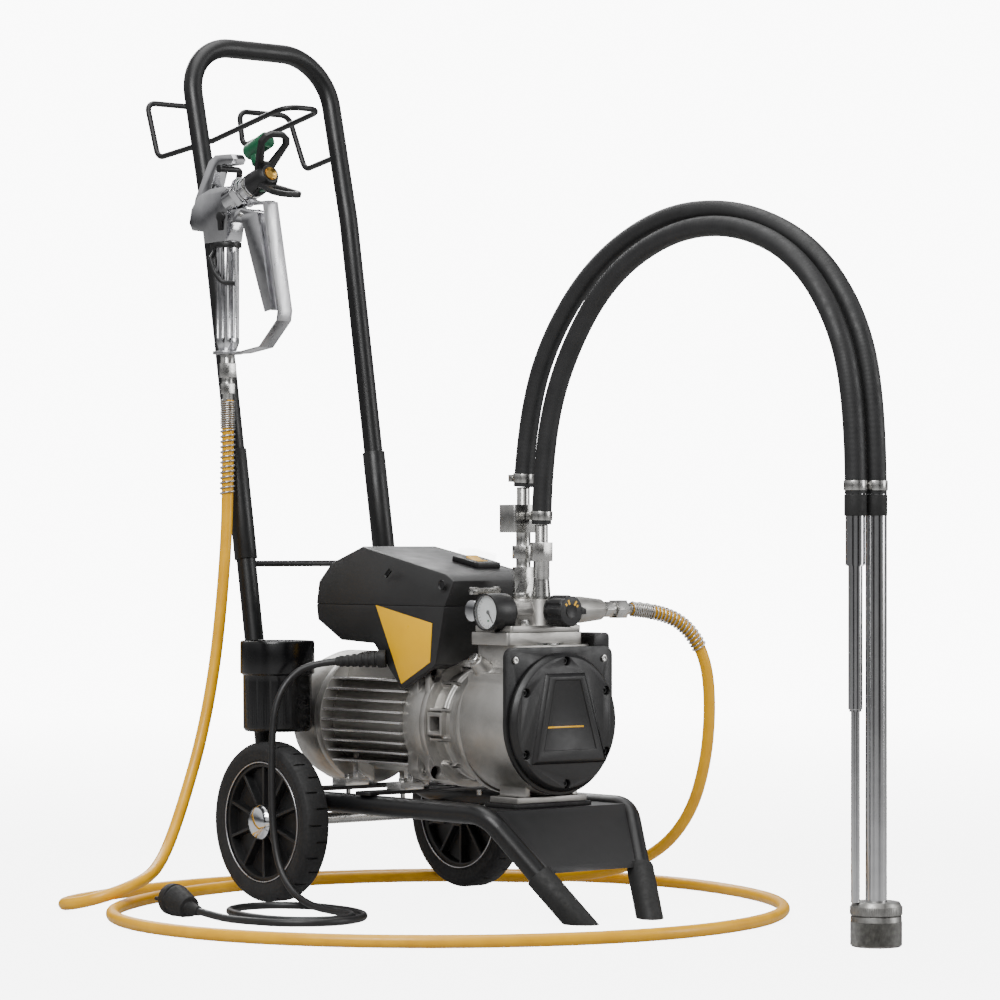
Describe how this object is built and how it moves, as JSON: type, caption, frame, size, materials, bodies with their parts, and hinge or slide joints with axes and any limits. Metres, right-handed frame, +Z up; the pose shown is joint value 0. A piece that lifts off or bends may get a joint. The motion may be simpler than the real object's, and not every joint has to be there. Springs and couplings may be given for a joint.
{
  "type": "airless paint sprayer",
  "caption": "Wheeled airless paint sprayer: motor-driven diaphragm pump on a tube cart, with spray gun, long high-pressure hose, pickup pipes and mains cable.",
  "frame": {"origin": "bottom centre of the machine's box on the floor, measured without its loose hoses, pipes and cable", "axes": "+Z up, pump cover faces -Y, wheels at +Y, +X to the right seen from the wheels"},
  "size_m": [0.8627, 1.2213, 1.1165],
  "materials": {
    "frame_black": "satin powder coat",
    "plastic_black": "fine moulded grain",
    "plastic_grey": "fine moulded grain",
    "rubber": "matte",
    "tyre": "matte",
    "cast": "cast, bead blasted",
    "alloy": "polished casting",
    "steel": "turned",
    "chrome": "polished",
    "yellow": "satin",
    "hose_yellow": "satin",
    "hose_black": "matte",
    "cable": "matte",
    "clear": "clear",
    "dial": "printed",
    "green": "satin",
    "copper": "wound wire"
  },
  "bodies": {
    "cart": {"frame_tube_near": "frame_black", "frame_tube_far": "frame_black", "rubber_feet": "rubber", "front_shield": "frame_black", "axle": "steel", "frame_brackets": "frame_black", "handle_tube": "frame_black", "handle_fittings": "frame_black", "gun_wire": "frame_black", "cup": "plastic_black", "motor_housing": "cast", "motor_shields": "cast", "motor_electrics": "copper", "fan_cowl": "cast", "bell_housing": "cast", "oil_housing": "cast", "pump_piston": "steel", "pump_head": "cast", "manifold": "cast", "front_cover": "plastic_black", "cover_plate": "plastic_black", "gauge_case": "plastic_black", "gauge_dial": "dial", "hose_clamps": "steel", "pump_fittings": "steel", "control_base": "plastic_grey", "control_lid": "plastic_grey", "switch_frame": "plastic_black", "clear_covers": "clear", "yellow_panels": "yellow", "strain_relief": "rubber", "gun_body": "alloy", "trigger_guard": "alloy", "grip_clip": "plastic_black", "gun_fittings": "steel", "spray_hose": "hose_yellow", "power_cable": "cable", "suction_hose": "hose_black", "return_hose": "hose_black", "hose_guards": "steel", "pickup_pipes": "chrome", "inlet_filter": "steel", "plug": "rubber", "steel_fasteners": "steel"},
    "wheel_near": {"tyre_near": "tyre", "rim_near": "plastic_black", "hub_cap_near": "chrome"},
    "wheel_far": {"tyre_far": "tyre", "rim_far": "plastic_black", "hub_cap_far": "chrome"},
    "rotor": {"rotor_shaft": "steel", "cooling_fan": "plastic_black"},
    "needle": {"gauge_needle": "plastic_black"},
    "knob": {"pressure_knob": "plastic_black"},
    "valve_button": {"inlet_pusher": "chrome"},
    "rocker": {"switch_rocker": "yellow"},
    "trigger": {"trigger": "alloy"},
    "safety_lever": {"trigger_lock": "plastic_black"},
    "guard": {"tip_guard": "plastic_black"},
    "tip": {"spray_tip": "green"}
  },
  "joints": [
    {"name": "wheel_near_spin", "type": "hinge", "parent": "cart", "child": "wheel_near", "pos_m": [-0.1604, 0.07573, 0.1], "axis": [1, 0, 0], "continuous": true},
    {"name": "wheel_far_spin", "type": "hinge", "parent": "cart", "child": "wheel_far", "pos_m": [0.1604, 0.07573, 0.1], "axis": [1, 0, 0], "continuous": true},
    {"name": "motor_spin", "type": "hinge", "parent": "cart", "child": "rotor", "pos_m": [0, -0.00687, 0.2265], "axis": [0, 1, 0], "continuous": true},
    {"name": "gauge_needle_turn", "type": "hinge", "parent": "cart", "child": "needle", "pos_m": [-0.0753, -0.24487, 0.366], "axis": [1, 0, 0], "range_deg": [0, 250]},
    {"name": "pressure_knob_turn", "type": "hinge", "parent": "cart", "child": "knob", "pos_m": [0.006, -0.27287, 0.367], "axis": [0, -1, 0], "range_deg": [0, 270]},
    {"name": "inlet_button_push", "type": "slide", "parent": "cart", "child": "valve_button", "axis": [1, 0, 0], "range_m": [0, 0.004], "stiffness_N_per_m": 1500, "springref_m": -0.001},
    {"name": "power_switch_rock", "type": "hinge", "parent": "cart", "child": "rocker", "pos_m": [0.028, -0.09906, 0.42318], "axis": [1, 0, 0], "range_deg": [-12, 0]},
    {"name": "trigger_pull", "type": "hinge", "parent": "cart", "child": "trigger", "pos_m": [-0.145, 0.14513, 0.866], "axis": [1, 0, 0], "range_deg": [0, 16], "stiffness_Nm_per_rad": 1.2, "springref_deg": -11.46},
    {"name": "safety_lever_turn", "type": "hinge", "parent": "cart", "child": "safety_lever", "pos_m": [-0.16, 0.18513, 0.866], "axis": [1, 0, 0], "range_deg": [0, 60]},
    {"name": "tip_guard_turn", "type": "hinge", "parent": "cart", "child": "guard", "pos_m": [-0.145, 0.11661, 0.90849], "axis": [0, -0.9438, 0.3305], "range_deg": [-90, 90]},
    {"name": "spray_tip_turn", "type": "hinge", "parent": "guard", "child": "tip", "pos_m": [-0.145, 0.11661, 0.90849], "axis": [0, 0.3305, 0.9438], "range_deg": [0, 180]}
  ]
}
